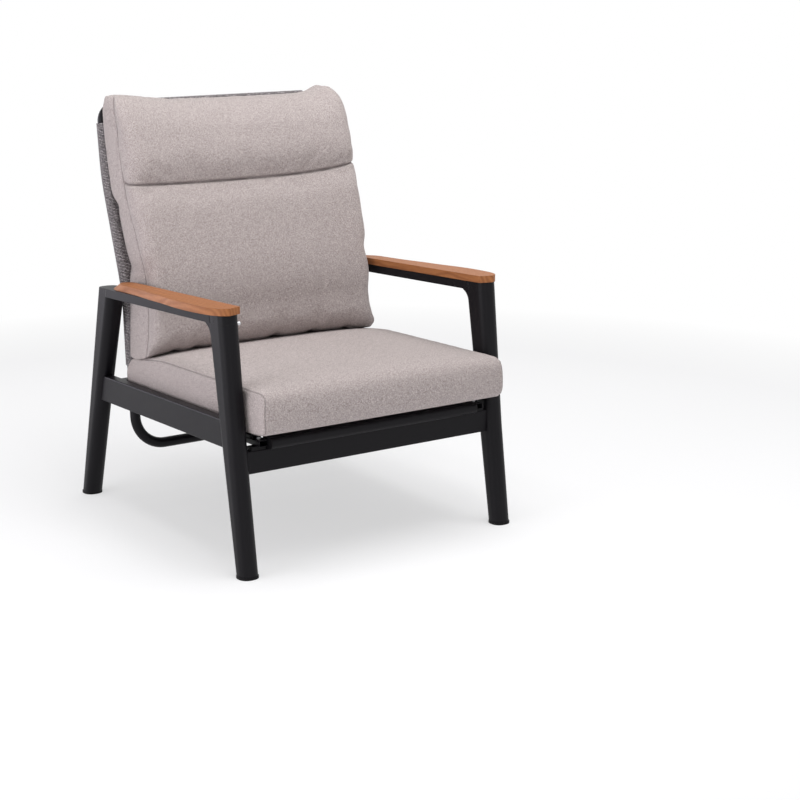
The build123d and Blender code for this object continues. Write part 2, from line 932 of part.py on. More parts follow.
def make_front_spring_bracket():
    pin = front_pin_place()
    base = seat_plane.from_local_coords(Vector(0, mid_bar_place, tray_bar_bottom))
    with BuildPart() as bracket:
        with BuildSketch(seat_plane.offset(tray_bar_bottom)):
            with Locations((0, mid_bar_place)):
                Rectangle(2 * (spring_ear_gap + spring_ear_thickness), cross_bar_width)
        extrude(amount=-bracket_thickness)
        for side, _ in sides:
            with BuildSketch(Plane.YZ.offset(side * (spring_ear_gap + spring_ear_thickness / 2))):
                with BuildLine():
                    Polyline(
                        (base.Y - spring_ear_radius, base.Z - bracket_thickness / 2),
                        (base.Y + spring_ear_radius, base.Z - bracket_thickness / 2),
                        (pin.Y + spring_ear_radius, pin.Z),
                        (pin.Y - spring_ear_radius, pin.Z),
                        close=True,
                    )
                make_face()
                with Locations((pin.Y, pin.Z)):
                    Circle(spring_ear_radius)
                    Circle(spring_pin_radius, mode=Mode.SUBTRACT)
            extrude(amount=spring_ear_thickness / 2, both=True)
    return bracket


def pin_part(place):
    half = spring_ear_gap + spring_ear_thickness + bracket_thickness / 2
    return disc(-half, place.Y, place.Z, 1, spring_pin_radius, 2 * half)


def make_rear_spring_ears():
    pin = rear_pin_place()
    tube_y, tube_z = back_point(back_bottom_z)
    offset = Vector(tube_y - pin.Y, tube_z - pin.Z)
    across = Vector(-offset.Y, offset.X).normalized() * spring_ear_radius
    with BuildPart() as ears:
        for side, _ in sides:
            with BuildSketch(Plane.YZ.offset(side * (spring_ear_gap + spring_ear_thickness / 2))):
                with BuildLine():
                    Polyline(
                        (pin.Y + across.X, pin.Z + across.Y),
                        (tube_y + across.X, tube_z + across.Y),
                        (tube_y - across.X, tube_z - across.Y),
                        (pin.Y - across.X, pin.Z - across.Y),
                        close=True,
                    )
                make_face()
                with Locations((pin.Y, pin.Z)):
                    Circle(spring_ear_radius)
                    Circle(spring_pin_radius, mode=Mode.SUBTRACT)
                with Locations((tube_y, tube_z)):
                    Circle(back_tube_radius, mode=Mode.SUBTRACT)
            extrude(amount=spring_ear_thickness / 2, both=True)
    return ears


def make_release_head():
    # block on the rod's end, hung on the front pin
    half = spring_head_half_width
    with BuildPart() as head:
        with BuildSketch(spring_plane):
            RectangleRounded(2 * half, spring_head_size, rail_corner)
        extrude(amount=spring_head_length)
        pin = front_pin_place()
        with BuildSketch(Plane.YZ.offset(-half)):
            with Locations((pin.Y, pin.Z)):
                Circle(spring_head_size / 2)
        extrude(amount=2 * half)
        bore = spring_pin_radius + spring_pin_clearance
        add(disc(-half, pin.Y, pin.Z, 1, bore, 2 * half), mode=Mode.SUBTRACT)
    return head


def make_gas_spring_rod():
    return spring_round(spring_head_length, spring_head_length + spring_rod_reach, spring_rod_radius)


def make_gas_spring_piston():
    start = spring_head_length + spring_rod_reach
    radius = spring_cylinder_radius - spring_cylinder_wall - spring_piston_clearance
    return spring_round(start, start + spring_piston_length, radius)


def cylinder_end():
    return spring_length - spring_eye_radius - spring_neck_length


def make_gas_spring_cylinder():
    bore = spring_cylinder_radius - spring_cylinder_wall
    start = spring_cylinder_start
    end = cylinder_end()
    with BuildPart() as cylinder:
        add(spring_round(start, end, spring_cylinder_radius))
        add(spring_round(start + spring_cap_length, end - spring_cap_length, bore), mode=Mode.SUBTRACT)
        guide = spring_rod_radius + spring_rod_clearance
        add(spring_round(start, start + spring_cap_length, guide), mode=Mode.SUBTRACT)
        rims = cylinder.edges().filter_by(GeomType.CIRCLE).filter_by(
            lambda edge: abs(edge.radius - spring_cylinder_radius) < spring_rod_clearance
        )
        fillet(rims, spring_cylinder_wall)
    return cylinder


def make_gas_spring_eye():
    # ring round the rear pin, with room for the rubber that the pin would sit in
    pin = rear_pin_place()
    half = spring_head_half_width
    with BuildPart() as eye:
        add(disc(-half, pin.Y, pin.Z, 1, spring_eye_radius, 2 * half))
        add(spring_round(cylinder_end(), spring_length - spring_eye_bore, spring_neck_radius))
        add(disc(-half, pin.Y, pin.Z, 1, spring_eye_bore, 2 * half), mode=Mode.SUBTRACT)
    return eye


def make_release_lever():
    # plate over the head that the release cable would pull
    start = spring_head_size / 2 + release_lever_gap
    with BuildPart() as lever:
        with BuildSketch(spring_plane.offset(spring_head_length * (1 - lever_length_share))):
            with Locations((0, spring_lever_side() * (start + release_lever_thickness / 2))):
                Rectangle(release_lever_width, release_lever_thickness)
        extrude(amount=spring_head_length * lever_length_share)
    return lever


def spring_lever_side():
    # the lever lies on the spring's underside
    return -1 if spring_plane.y_dir.Z > 0 else 1


# Release button


def button_part(start, end, radius, bore=0.0):
    # round piece about the button's axis; start and end are distances from the leg's inner face
    return disc(-leg_inner_x + start, button_y(), button_z, 1, radius, end - start, bore)


def make_button_housing():
    with BuildPart() as housing:
        bore = button_radius + button_clearance
        add(button_part(0, housing_flange, housing_flange_radius, bore))
        add(button_part(-housing_sleeve, 0, housing_sleeve_radius, bore))
    return housing


def make_release_button():
    with BuildPart() as button:
        add(button_part(-button_stem, button_reach, button_radius))
        tip = button.faces().sort_by(Axis.X)[-1]
        fillet(tip.edges(), button_dome)
    return button


# Cushions


def seat_section(place, inset, belly):
    # outline across the seat cushion, place along the tray; inset draws it in at the ends,
    # belly is the share by which its underside hangs below the border
    half = seat_half_width - inset
    side_low = soft_gap + seat_bottom_rise + inset
    low = side_low - seat_bottom_rise * belly
    top = soft_gap + seat_thickness - inset
    crown = seat_crown if inset < seat_end_radius else seat_crown * seat_end_crown_share
    bottom_r = seat_bottom_radius
    top_r = seat_top_radius
    soft = 1 - 1 / sqrt(2)
    middle = (side_low + bottom_r + top - top_r) / 2
    plane = Plane(
        origin=seat_plane.from_local_coords(Vector(0, place, 0)), x_dir=(1, 0, 0), z_dir=-seat_along
    )
    with BuildSketch(plane) as section:
        with BuildLine():
            ThreePointArc((bottom_r - half, side_low), (0, low), (half - bottom_r, side_low))
            for side, _ in reversed(sides):
                points = (
                    (half - bottom_r, side_low),
                    (half - bottom_r * soft, side_low + bottom_r * soft),
                    (half, side_low + bottom_r),
                    (half + seat_bulge, middle),
                    (half, top - top_r),
                    (half - top_r * soft, top - top_r * soft),
                    (half - top_r, top),
                )
                for start in (0, 2, 4):
                    ThreePointArc(*[(side * x, y) for x, y in points[start : start + 3]])
            ThreePointArc((half - top_r, top), (0, top + crown), (top_r - half, top))
        make_face()
    return section.sketch


def seat_ends():
    # distance from the end, inset and belly of the sections at either end
    places = []
    for share in seat_end_shares:
        run = seat_end_radius * (1 - sqrt(1 - (1 - share) ** 2))
        places.append((run, seat_end_radius * share, seat_end_belly_share))
    places.append((seat_belly_run, 0, 1))
    return places


def make_seat_cushion():
    with BuildPart() as cushion:
        sections = []
        for run, inset, belly in seat_ends():
            sections.append(seat_section(run - seat_front_overhang, inset, belly))
        for run, inset, belly in reversed(seat_ends()):
            sections.append(seat_section(seat_rear_place - run, inset, belly))
        loft(sections, ruled=True)
    return cushion


def seat_top_z(y):
    # highest line of the seat cushion, on its middle, at y
    place = y - front_foot_y
    return seat_plane.from_local_coords(Vector(0, place, soft_gap + seat_thickness + seat_crown)).Z


def behind_back_cushion():
    # everything behind the woven panel's front face, less the gap
    path = back_path(0, weave_bar_z, back_top_z + 2 * cut_overrun)
    start = Plane(origin=path.position_at(0), x_dir=(1, 0, 0), z_dir=path.tangent_at(0))
    backward = 1 if start.y_dir.Y > 0 else -1
    front = back_tube_radius + wrap_thickness + soft_gap
    depth = front + 2 * cut_overrun
    with BuildPart() as space:
        with BuildSketch(start):
            with Locations((0, backward * (depth / 2 - front))):
                Rectangle(2 * (back_cushion_half_width + cut_overrun), depth)
        sweep(path=path)
    return space


def back_section(z, inset, depth, gusset):
    # plan outline of the back cushion, run on behind the panel: narrow sides, crowned front
    panel_y = back_line_y(z) - back_tube_radius - wrap_thickness
    rear = panel_y + cut_overrun
    half = back_cushion_half_width - inset
    side_y = panel_y - gusset
    front = panel_y - depth
    shoulder = half * shoulder_share
    shoulder_y = front + depth * shoulder_drop_share
    bend = half * bend_share
    bend_y = shoulder_y + (side_y - shoulder_y) * bend_drop_share
    with BuildSketch(Plane.XY.offset(z)) as section:
        with BuildLine():
            Polyline((-half, side_y), (-half, rear), (half, rear), (half, side_y))
            ThreePointArc((half, side_y), (bend, bend_y), (shoulder, shoulder_y))
            ThreePointArc((shoulder, shoulder_y), (0, front), (-shoulder, shoulder_y))
            ThreePointArc((-shoulder, shoulder_y), (-bend, bend_y), (-half, side_y))
        make_face()
    return section.sketch


def make_back_cushion():
    bottom = seat_top_z(pivot_y - back_cushion_depth) + soft_gap
    height = back_top_z + back_cushion_rise - bottom
    sections = []
    for rise, inset, front, gusset in back_cushion_shares:
        depths = (back_cushion_depth * front, back_cushion_depth * gusset)
        sections.append(back_section(bottom + height * rise, back_cushion_edge * inset, *depths))
    with BuildPart() as cushion:
        loft(sections, ruled=True)
        add(behind_back_cushion(), mode=Mode.SUBTRACT)
    return cushion


# All pieces by name

for side, word in sides:
    pieces[f"front_leg_{word}"] = make_leg(side, True)
    pieces[f"rear_leg_{word}"] = make_leg(side, False)
    pieces[f"front_foot_{word}"] = make_foot(side, True)
    pieces[f"rear_foot_{word}"] = make_foot(side, False)
    pieces[f"arm_tube_{word}"] = make_arm_tube(side)
    pieces[f"armrest_{word}"] = make_armrest(side)
    pieces[f"side_rail_{word}"] = make_side_rail(side)
    pieces[f"seat_side_bar_{word}"] = make_tray_side_bar(side)
    pieces[f"seat_bracket_{word}"] = make_tray_bracket(side)
    pieces[f"back_side_tube_{word}"] = make_back_side_tube(side)
    pieces[f"side_wrap_{word}"] = make_side_wrap(side)

pieces["armrest_screws"] = make_armrest_screws()
pieces["front_apron"] = make_front_apron()
pieces["rear_crossbar"] = make_rear_crossbar()
pieces["seat_front_bar"] = make_seat_front_bar()
pieces["seat_front_bar_caps"] = make_front_bar_caps()
pieces["seat_mid_bar"] = make_tray_cross_bar(mid_bar_place)
pieces["seat_rear_bar"] = make_tray_cross_bar(tray_end - cross_bar_width / 2)
pieces["seat_slats"] = make_seat_slats()
pieces["seat_mount_blocks"] = make_mount_blocks()
pieces["seat_bolts"] = make_tray_bolts()
pieces["back_lower_bow"] = make_back_lower_bow()
pieces["back_top_bow"] = make_back_top_bow()
pieces["weave_bar"] = make_weave_bar()
pieces["top_wrap"] = make_top_wrap()
pieces["woven_panel"] = make_woven_panel()
pieces["pivot_sleeves"] = make_pivot_sleeves()
pieces["pivot_bolts"] = make_pivot_bolts()
pieces["pivot_spacers"] = make_pivot_spacers()
pieces["pivot_inserts"] = make_pivot_inserts()
pieces["spring_front_bracket"] = make_front_spring_bracket()
pieces["spring_front_pin"] = pin_part(front_pin_place())
pieces["spring_rear_ears"] = make_rear_spring_ears()
pieces["spring_rear_pin"] = pin_part(rear_pin_place())
pieces["release_head"] = make_release_head()
pieces["release_lever"] = make_release_lever()
pieces["gas_spring_rod"] = make_gas_spring_rod()
pieces["gas_spring_piston"] = make_gas_spring_piston()
pieces["gas_spring_cylinder"] = make_gas_spring_cylinder()
pieces["gas_spring_eye"] = make_gas_spring_eye()
pieces["button_housing"] = make_button_housing()
pieces["release_button"] = make_release_button()
pieces["seat_cushion"] = make_seat_cushion()
pieces["back_cushion"] = make_back_cushion()

os.makedirs("parts", exist_ok=True)
for name, piece in pieces.items():
    piece.part.label = name
    export_step(piece.part, f"parts/{name}.step")
print("pieces", len(pieces))
print("pivot", round(pivot_y, 2), round(pivot_z, 2))
print("spring pins", front_pin_place(), rear_pin_place(), "length", round(spring_length, 2))
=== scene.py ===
import json
import math

import bmesh
import bpy
import numpy as np
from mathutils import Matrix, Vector, noise
from mathutils.bvhtree import BVHTree
from mathutils.kdtree import KDTree


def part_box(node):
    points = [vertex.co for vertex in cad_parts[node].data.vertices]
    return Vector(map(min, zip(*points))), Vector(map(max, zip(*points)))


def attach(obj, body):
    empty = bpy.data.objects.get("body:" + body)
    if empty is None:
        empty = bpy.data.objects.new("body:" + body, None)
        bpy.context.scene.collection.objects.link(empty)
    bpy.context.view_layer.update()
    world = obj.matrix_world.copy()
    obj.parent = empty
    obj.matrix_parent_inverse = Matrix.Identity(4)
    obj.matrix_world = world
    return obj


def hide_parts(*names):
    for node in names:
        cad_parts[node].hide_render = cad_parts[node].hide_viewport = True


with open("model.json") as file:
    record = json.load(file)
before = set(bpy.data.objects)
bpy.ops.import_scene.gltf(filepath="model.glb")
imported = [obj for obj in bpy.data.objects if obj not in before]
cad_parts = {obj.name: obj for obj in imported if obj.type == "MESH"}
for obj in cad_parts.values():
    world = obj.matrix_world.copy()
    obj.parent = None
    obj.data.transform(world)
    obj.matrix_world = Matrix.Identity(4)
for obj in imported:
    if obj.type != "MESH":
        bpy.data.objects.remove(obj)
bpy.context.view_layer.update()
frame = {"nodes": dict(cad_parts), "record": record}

mm = 0.001
noiseMean = 0.5
print("frame loaded", len(frame["nodes"]), "nodes")


# shader helpers: a Field is a socket that adds Math nodes when it meets an operator

class Field:
    def __init__(self, nodes, socket):
        self.nodes = nodes
        self.socket = socket

    def __add__(self, other):
        return self.nodes.maths("ADD", self, other)

    def __sub__(self, other):
        return self.nodes.maths("SUBTRACT", self, other)

    def __rsub__(self, other):
        return self.nodes.maths("SUBTRACT", other, self)

    def __mul__(self, other):
        return self.nodes.maths("MULTIPLY", self, other)

    __radd__ = __add__
    __rmul__ = __mul__


class Nodes:
    def __init__(self, tree):
        self.tree = tree
        tree.nodes.clear()

    def join(self, socket, value):
        if isinstance(value, Field):
            self.tree.links.new(value.socket, socket)
        else:
            socket.default_value = value

    def node(self, kind, settings=None, sockets=None, out=0):
        made = self.tree.nodes.new("ShaderNode" + kind)
        for name, value in (settings or {}).items():
            if name == "stops":
                ramp = made.color_ramp
                while len(ramp.elements) < len(value):
                    ramp.elements.new(0.5)
                for element, (place, colour) in zip(ramp.elements, value):
                    element.position = place
                    element.color = (*colour, 1)
            else:
                setattr(made, name, value)
        for name, value in (sockets or {}).items():
            self.join(made.inputs[name], value)
        return Field(self, made.outputs[out]) if made.outputs else None

    def maths(self, operation, first, second=0.0):
        return self.node("Math", {"operation": operation}, {0: first, 1: second})

    def sine(self, value):
        return self.maths("SINE", value)

    def ramp(self, value, span):
        # 0 at the span's low end, 1 at its high end
        return self.node("MapRange", {}, {"Value": value, "From Min": span[0], "From Max": span[1]})

    def rays(self, *names):
        return [self.node("LightPath", out=name + " Ray") for name in names]


class Finish(Nodes):
    def __init__(self, name, **constants):
        self.material = bpy.data.materials.new(name)
        self.material.use_nodes = True
        super().__init__(self.material.node_tree)
        sockets = {socket.replace("_", " "): value for socket, value in constants.items()}
        self.surface = self.node("BsdfPrincipled", {}, sockets)

    def place(self):
        return self.node("TexCoord", out="Object")

    def axes(self, vector):
        return [self.node("SeparateXYZ", {}, {0: vector}, out=axis) for axis in range(3)]

    def noise(self, vector, grain, stretch=None):
        # grain is scale per metre, detail and roughness
        if stretch:
            vector = self.node("Mapping", {}, {"Vector": vector, "Scale": stretch})
        scale, detail, rough = grain
        sockets = {"Vector": vector, "Scale": scale, "Detail": detail, "Roughness": rough}
        return self.node("TexNoise", {}, sockets)

    def swing(self, noise, amount):
        # a noise about nought
        return (noise - noiseMean) * amount

    def tint(self, value, stops):
        return self.node("ValToRGB", {"stops": stops}, {0: value})

    def blend(self, share, first, second):
        # a share of the second colour over the first
        pair = [colour if isinstance(colour, Field) else (*colour, 1) for colour in (first, second)]
        return self.node("Mix", {"data_type": "RGBA"}, {0: share, 6: pair[0], 7: pair[1]}, out=2)

    def softEdge(self, radius):
        return self.node("Bevel", {"samples": 4}, {"Radius": radius})

    def bump(self, height, relief, normal=None):
        # relief is depth and strength
        sockets = {"Height": height, "Distance": relief[0], "Strength": relief[1]}
        if normal:
            sockets["Normal"] = normal
        return self.node("Bump", {}, sockets)

    def feed(self, **fields):
        for name, field in fields.items():
            self.join(self.surface.socket.node.inputs[name.replace("_", " ")], field)
        self.node("OutputMaterial", {}, {"Surface": self.surface})
        return self.material


# finishes: each noise is scale per metre, detail and roughness, each relief is depth and strength,
# each span is the values that become 0 and 1

powderCoat = {
    "specular": 0.16,
    "fine": (900, 2, 0.5),
    "wide": (14, 3, 0.5),
    "pale": 1.35,
    "paleShare": 0.5,
    "wideRough": 0.10,
    "fineRough": 0.06,
    "edge": 1.2 * mm,
    "relief": (0.12 * mm, 0.55),
}


def makePowderCoat(name, colour, roughness, settings=powderCoat):
    coat = Finish(name, Specular_IOR_Level=settings["specular"])
    spot = coat.place()
    fine = coat.noise(spot, settings["fine"])
    wide = coat.noise(spot, settings["wide"])
    pale = [value * settings["pale"] for value in colour]
    rough = roughness + coat.swing(wide, settings["wideRough"]) + coat.swing(fine, settings["fineRough"])
    return coat.feed(
        Base_Color=coat.blend(wide * settings["paleShare"], colour, pale),
        Roughness=rough,
        Normal=coat.bump(fine, settings["relief"], coat.softEdge(settings["edge"])),
    )


oiledTeak = {
    "specular": 0.22,
    "light": (0.41, 0.162, 0.057),
    "dark": (0.175, 0.056, 0.018),
    "darkShare": 0.55,
    # growth rings cut nearly along the grain: radians per metre, and how they lean, run and drift
    "ringWave": 620,
    "ringSlope": 0.55,
    "ringRun": 0.045,
    "ringDrift": 0.030,
    "ringSpan": (-1.2, 1.2),
    "drift": (6, 3, 0.5),
    "driftStretch": (3, 1.2, 3),
    "tone": (5, 3, 0.5),
    "toneStretch": (30, 1.4, 30),
    "toneSpan": (0.3, 0.75),
    "toneColour": (0.23, 0.077, 0.026),
    "toneShare": 0.45,
    "pores": (1500, 2, 0.5),
    "poreStretch": (1, 0.035, 1),
    "poreSpan": (0.58, 0.70),
    "poreColour": (0.17, 0.07, 0.032),
    "poreShare": 0.35,
    "roughness": 0.46,
    "ringRough": 0.06,
    "poreRough": 0.15,
    "poreDepth": 0.8,
    "ringHeight": 0.25,
    "edge": 2.2 * mm,
    "relief": (0.25 * mm, 0.6),
}


def makeTeak(name, settings=oiledTeak):
    wood = Finish(name, Specular_IOR_Level=settings["specular"])
    spot = wood.place()
    x, y, z = wood.axes(spot)
    drift = wood.noise(spot, settings["drift"], settings["driftStretch"])
    across = x + z * settings["ringSlope"] + y * settings["ringRun"] + drift * settings["ringDrift"]
    ring = wood.ramp(wood.sine(across * settings["ringWave"]), settings["ringSpan"])
    pores = wood.noise(spot, settings["pores"], settings["poreStretch"])
    pore = wood.ramp(pores, settings["poreSpan"])
    tone = wood.ramp(wood.noise(spot, settings["tone"], settings["toneStretch"]), settings["toneSpan"])
    colour = wood.blend(ring * settings["darkShare"], settings["light"], settings["dark"])
    colour = wood.blend(tone * settings["toneShare"], colour, settings["toneColour"])
    colour = wood.blend(pore * settings["poreShare"], colour, settings["poreColour"])
    height = 1 - pore * settings["poreDepth"] + ring * settings["ringHeight"]
    return wood.feed(
        Base_Color=colour,
        Roughness=settings["roughness"] + ring * settings["ringRough"] + pore * settings["poreRough"],
        Normal=wood.bump(height, settings["relief"], wood.softEdge(settings["edge"])),
    )


greigeMelange = {
    "specular": 0.15,
    "sheen": 0.12,
    "sheenRough": 0.5,
    "yarnPitch": 1.7 * mm,
    "slub": (1150, 1, 0.6),
    "slubStretch": 0.36,
    "acrossShare": 0.5,
    "slubShare": 0.56,
    "fleck": (1000, 1, 0.5),
    "fleckShare": 0.36,
    "streak": (700, 1, 0.5),
    "streakStretch": 0.14,
    "streakShare": 0.08,
    "stops": [(0.38, (0.13, 0.105, 0.10)), (0.50, (0.405, 0.348, 0.338)), (0.62, (0.80, 0.73, 0.71))],
    "cloud": (9, 3, 0.5),
    "cloudColour": (0.34, 0.29, 0.28),
    "cloudShare": 0.14,
    # millimetres from the sewn line over which the groove and its painted shade fade out, then the painted
    # shade's colour and share
    "seamSpan": (0.8, 3.0),
    "seamShadeColour": (0.06, 0.05, 0.05),
    "seamShadeShare": 0.45,
    "roughness": 0.88,
    "slubRough": 0.12,
    "yarnHeight": 0.25,
    "slubHeight": 1.2,
    "fleckHeight": 0.5,
    "seamDepth": 2.5,
    "relief": (0.45 * mm, 0.7),
}


def makeCushionFabric(name, settings=greigeMelange):
    cloth = Finish(
        name,
        Sheen_Weight=settings["sheen"],
        Sheen_Roughness=settings["sheenRough"],
        Specular_IOR_Level=settings["specular"],
    )
    spot = cloth.place()
    facing = cloth.axes(cloth.node("TexCoord", out="Normal"))
    facing = [cloth.maths("ABSOLUTE", axis) for axis in facing]
    level = facing[2]
    wave = 2 * math.pi / settings["yarnPitch"]
    yarns = [cloth.sine(axis * wave) * (1 - face) for axis, face in zip(cloth.axes(spot), facing)]
    weave = yarns[0] + yarns[1] + yarns[2]

    def drawnOut(grain, amount, axis):
        stretch = [1, 1, 1]
        stretch[axis] = amount
        return cloth.noise(spot, grain, stretch)

    # slubs run across everywhere, up the upright faces and from front to rear on the level ones
    slubs = [drawnOut(settings["slub"], settings["slubStretch"], axis) for axis in range(3)]
    across, along, upright = slubs
    share = settings["acrossShare"]
    slub = across * share + (upright * (1 - level) + along * level) * (1 - share)
    down, back = [drawnOut(settings["streak"], settings["streakStretch"], axis) for axis in (2, 1)]
    streak = down * (1 - level) + back * level
    fleck = cloth.noise(spot, settings["fleck"])
    cloud = cloth.noise(spot, settings["cloud"])
    gap = cloth.node("Attribute", {"attribute_name": "gap"}, out="Fac")
    seam = 1 - cloth.ramp(gap, settings["seamSpan"])

    melange = slub * settings["slubShare"] + fleck * settings["fleckShare"]
    melange = melange + streak * settings["streakShare"]
    colour = cloth.tint(melange, settings["stops"])
    colour = cloth.blend(cloud * settings["cloudShare"], colour, settings["cloudColour"])
    # painted shade: the cloth is darkened along every sewn line, where the groove's shade falls
    colour = cloth.blend(seam * settings["seamShadeShare"], colour, settings["seamShadeColour"])
    height = weave * settings["yarnHeight"] + slub * settings["slubHeight"]
    height = height + fleck * settings["fleckHeight"] - seam * settings["seamDepth"]
    return cloth.feed(
        Base_Color=colour,
        Roughness=settings["roughness"] + cloth.swing(slub, settings["slubRough"]),
        Normal=cloth.bump(height, settings["relief"]),
    )


greyWeave = {
    "specular": 0.25,
    "sheen": 0.05,
    "pitch": 3.7 * mm,
    "rowSlant": 0.3,
    "rowShare": 0.65,
    "crossShare": 0.35,
    "strand": (420, 2, 0.6),
    "strandStretch": (0.5, 1, 1.5),
    "strandShare": 0.7,
    "fleck": (700, 1, 0.5),
    "fleckShare": 0.3,
    "stops": [(0.36, (0.075, 0.067, 0.069)), (0.5, (0.26, 0.236, 0.242)), (0.64, (0.70, 0.65, 0.66))],
    # painted shade between the strands, where the weave's bump is low
    "gapShadeSpan": (-0.5, 0.35),
    "gapShadeColour": (0.010, 0.008, 0.009),
    "gapShadeShare": 0.95,
    "roughness": 0.78,
    "fleckRough": 0.2,
    "basketHeight": 0.6,
    "strandHeight": 0.6,
    "relief": (0.9 * mm, 0.8),
}


def makeWovenCover(name, settings=greyWeave):
    cover = Finish(name, Specular_IOR_Level=settings["specular"], Sheen_Weight=settings["sheen"])
    spot = cover.place()
    x, y, z = cover.axes(spot)
    wave = 2 * math.pi / settings["pitch"]
    row = cover.sine(z * wave + y * wave * settings["rowSlant"])
    column = cover.sine(x * wave + y * wave)
    basket = row * settings["rowShare"] + row * column * settings["crossShare"]
    strand = cover.noise(spot, settings["strand"], settings["strandStretch"])
    fleck = cover.noise(spot, settings["fleck"])
    shade = strand * settings["strandShare"] + fleck * settings["fleckShare"]
    raised = cover.ramp(basket, settings["gapShadeSpan"])
    # painted shade: nearly black where the basket pattern sinks between the strands
    deep = settings["gapShadeShare"] - raised * settings["gapShadeShare"]
    height = basket * settings["basketHeight"] + strand * settings["strandHeight"]
    return cover.feed(
        Base_Color=cover.blend(deep, cover.tint(shade, settings["stops"]), settings["gapShadeColour"]),
        Roughness=settings["roughness"] + cover.swing(fleck, settings["fleckRough"]),
        Normal=cover.bump(height, settings["relief"]),
    )


matPlastic = {
    "specular": 0.12,
    "grain": (1600, 1, 0.5),
    "wide": (30, 2, 0.5),
    "pale": 1.5,
    "paleShare": 0.6,
    "grainRough": 0.12,
    "relief": (0.06 * mm, 0.5),
}


def makePlastic(name, colour, roughness, settings=matPlastic):
    plastic = Finish(name, Specular_IOR_Level=settings["specular"])
    spot = plastic.place()
    grain = plastic.noise(spot, settings["grain"])
    wide = plastic.noise(spot, settings["wide"])
    pale = [value * settings["pale"] for value in colour]
    return plastic.feed(
        Base_Color=plastic.blend(wide * settings["paleShare"], colour, pale),
        Roughness=roughness + plastic.swing(grain, settings["grainRough"]),
        Normal=plastic.bump(grain, settings["relief"]),
    )


bareMetal = {
    "brushed": (1400, 2, 0.5),
    "brushStretch": (0.1, 1, 1),
    "dull": (40, 2, 0.5),
    "dark": 0.85,
    "darkShare": 0.5,
    "brushRough": 0.10,
    "dullRough": 0.06,
    "relief": (0.03 * mm, 0.4),
}


def makeBareMetal(name, colour, roughness, settings=bareMetal):
    metal = Finish(name, Metallic=1.0)
    spot = metal.place()
    brushed = metal.noise(spot, settings["brushed"], settings["brushStretch"])
    dull = metal.noise(spot, settings["dull"])
    dark = [value * settings["dark"] for value in colour]
    rough = roughness + metal.swing(brushed, settings["brushRough"])
    return metal.feed(
        Base_Color=metal.blend(dull * settings["darkShare"], colour, dark),
        Roughness=rough + metal.swing(dull, settings["dullRough"]),
        Normal=metal.bump(brushed, settings["relief"]),
    )


finishes = {
    "frame": makePowderCoat("anthracite coat", (0.0036, 0.0030, 0.0044), 0.42),
    "teak": makeTeak("oiled teak"),
    "steel_hardware": makeBareMetal("zinc steel", (0.62, 0.62, 0.64), 0.32),
    "black_plastic": makePlastic("black plastic", (0.006, 0.0055, 0.0062), 0.5),
    "cushion_fabric": makeCushionFabric("greige melange"),
    "woven_strap": makeWovenCover("grey woven cover"),
    "spring_rod": makeBareMetal("ground rod", (0.8, 0.8, 0.82), 0.12),
    "spring_body": makePowderCoat("spring black", (0.010, 0.010, 0.011), 0.35),
    "button_chrome": makeBareMetal("button chrome", (0.58, 0.58, 0.60), 0.16),
}

slotOf = {entry["node"]: entry["material_slot"] for entry in frame["record"]["subparts"]}
for nodeName, node in frame["nodes"].items():
    node.data.materials.clear()
    node.data.materials.append(finishes[slotOf[nodeName]])
print("finishes on", len(slotOf), "nodes")


# pieces

def addPiece(name, mesh, slotName, body, stands):
    piece = bpy.data.objects.new(name, mesh)
    bpy.context.collection.objects.link(piece)
    mesh.materials.append(finishes[slotName])
    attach(piece, body)
    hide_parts(*stands)
    return piece


def treeOf(mesh):
    corners = [vertex.co.copy() for vertex in mesh.vertices]
    return BVHTree.FromPolygons(corners, [tuple(face.vertices) for face in mesh.polygons])


def smoothstep(low, high, value):
    share = min(1.0, max(0.0, (value - low) / (high - low)))
    return share * share * (3 - 2 * share)


def hump(value, middle, width):
    # 1 at the middle, fading out over the width
    return math.exp(-(((value - middle) / width) ** 2))


def evenShares(count):
    return [step / count for step in range(count + 1)]


def crowdedShares(count, density, samples=1200):
    # shares from 0 to 1 that crowd where the density is high
    fine = np.linspace(0, 1, samples + 1)
    total = np.concatenate([[0], np.cumsum(np.vectorize(density)((fine[1:] + fine[:-1]) / 2))])
    return np.interp(np.linspace(0, 1, count + 1), total / total[-1], fine)


def evenly(curve, shares):
    # points of a polyline at shares of its length
    steps = np.linalg.norm(np.diff(curve, axis=0), axis=1)
    run = np.concatenate([[0], np.cumsum(steps)])
    places = np.asarray(shares) * run[-1]
    return np.stack([np.interp(places, run, curve[:, axis]) for axis in range(curve.shape[1])], 1)


def boxLattice(shares, shape):
    # the skin of a box of quads, where shape turns the three shares of a point into its place
    made = bmesh.new()
    last = [len(side) - 1 for side in shares]
    points = {}
    for i, a in enumerate(shares[0]):
        for j, b in enumerate(shares[1]):
            for k, c in enumerate(shares[2]):
                if i in (0, last[0]) or j in (0, last[1]) or k in (0, last[2]):
                    points[i, j, k] = made.verts.new(shape(a, b, c))
    # front and rear, the two ends, bottom and top: what they face, what they span and the way round a quad
    wayUp = ((0, 0), (0, 1), (1, 1), (1, 0))
    wayOver = ((0, 0), (1, 0), (1, 1), (0, 1))
    for facing, first, second, way in ((1, 0, 2, wayOver), (0, 1, 2, wayUp), (2, 0, 1, wayUp)):
        for u in range(last[first]):
            for v in range(last[second]):
                for side in (0, last[facing]):
                    corners = []
                    for moreU, moreV in way:
                        place = {facing: side, first: u + moreU, second: v + moreV}
                        corners.append(points[place[0], place[1], place[2]])
                    made.faces.new(corners if side == 0 else corners[::-1])
    made.verts.index_update()
    indexOf = {key: vertex.index for key, vertex in points.items()}
    mesh = bpy.data.meshes.new("lattice")
    made.to_mesh(mesh)
    made.free()
    return mesh, indexOf


